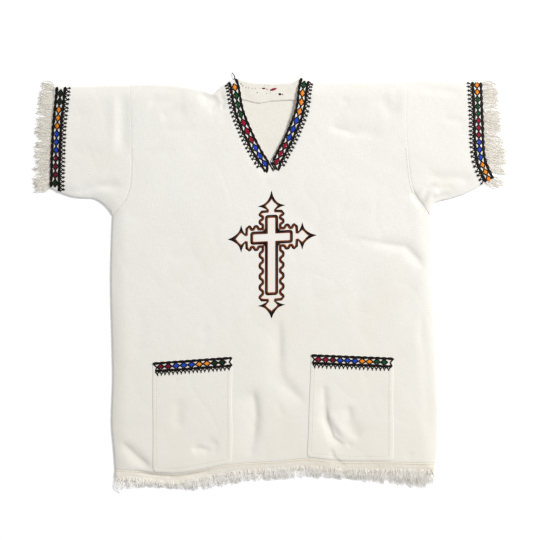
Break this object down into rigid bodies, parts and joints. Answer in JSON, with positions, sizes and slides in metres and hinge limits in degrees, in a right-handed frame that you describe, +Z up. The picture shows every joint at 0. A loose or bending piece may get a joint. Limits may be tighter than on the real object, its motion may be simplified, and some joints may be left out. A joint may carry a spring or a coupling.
{
  "type": "traditional cotton shirt",
  "caption": "Handwoven pull-on cotton shirt laid flat: V neck, short sleeves, patch pockets, embroidered bands and cross, fringed sleeve ends and hem.",
  "frame": {"origin": "centre of the laid shirt's box, on the surface it lies on", "axes": "+X along the sleeves to the right as seen from above, +Y from hem to neck, +Z up through the cloth from back to front"},
  "size_m": [0.9105, 0.7894, 0.0089],
  "materials": {
    "cotton": "off-white handwoven cotton, matt, soft plain weave with slightly uneven yarns",
    "hem_cotton": "unbleached handwoven cotton band, matt",
    "fringe_thread": "loose unbleached cotton yarns",
    "band_thread": "embroidery thread with a soft satin sheen: black with maroon rails and lattice, orange, green, red and blue lozenges",
    "cross_thread": "satin-stitched embroidery thread, black at the outer edge turning to brown inside"
  },
  "bodies": {
    "root": {"front_panel": "cotton", "back_panel": "cotton", "neck_facing": "cotton", "sleeve_left": "cotton", "sleeve_right": "cotton", "pocket_left": "cotton", "pocket_right": "cotton", "hem_band_front": "hem_cotton", "hem_band_back": "hem_cotton", "hem_fringe": "fringe_thread", "sleeve_fringe_left": "fringe_thread", "sleeve_fringe_right": "fringe_thread", "neck_band_left": "band_thread", "neck_band_right": "band_thread", "sleeve_band_left": "band_thread", "sleeve_band_right": "band_thread", "pocket_band_left": "band_thread", "pocket_band_right": "band_thread", "cross_border": "cross_thread", "cross_heart": "cross_thread"}
  },
  "joints": []
}
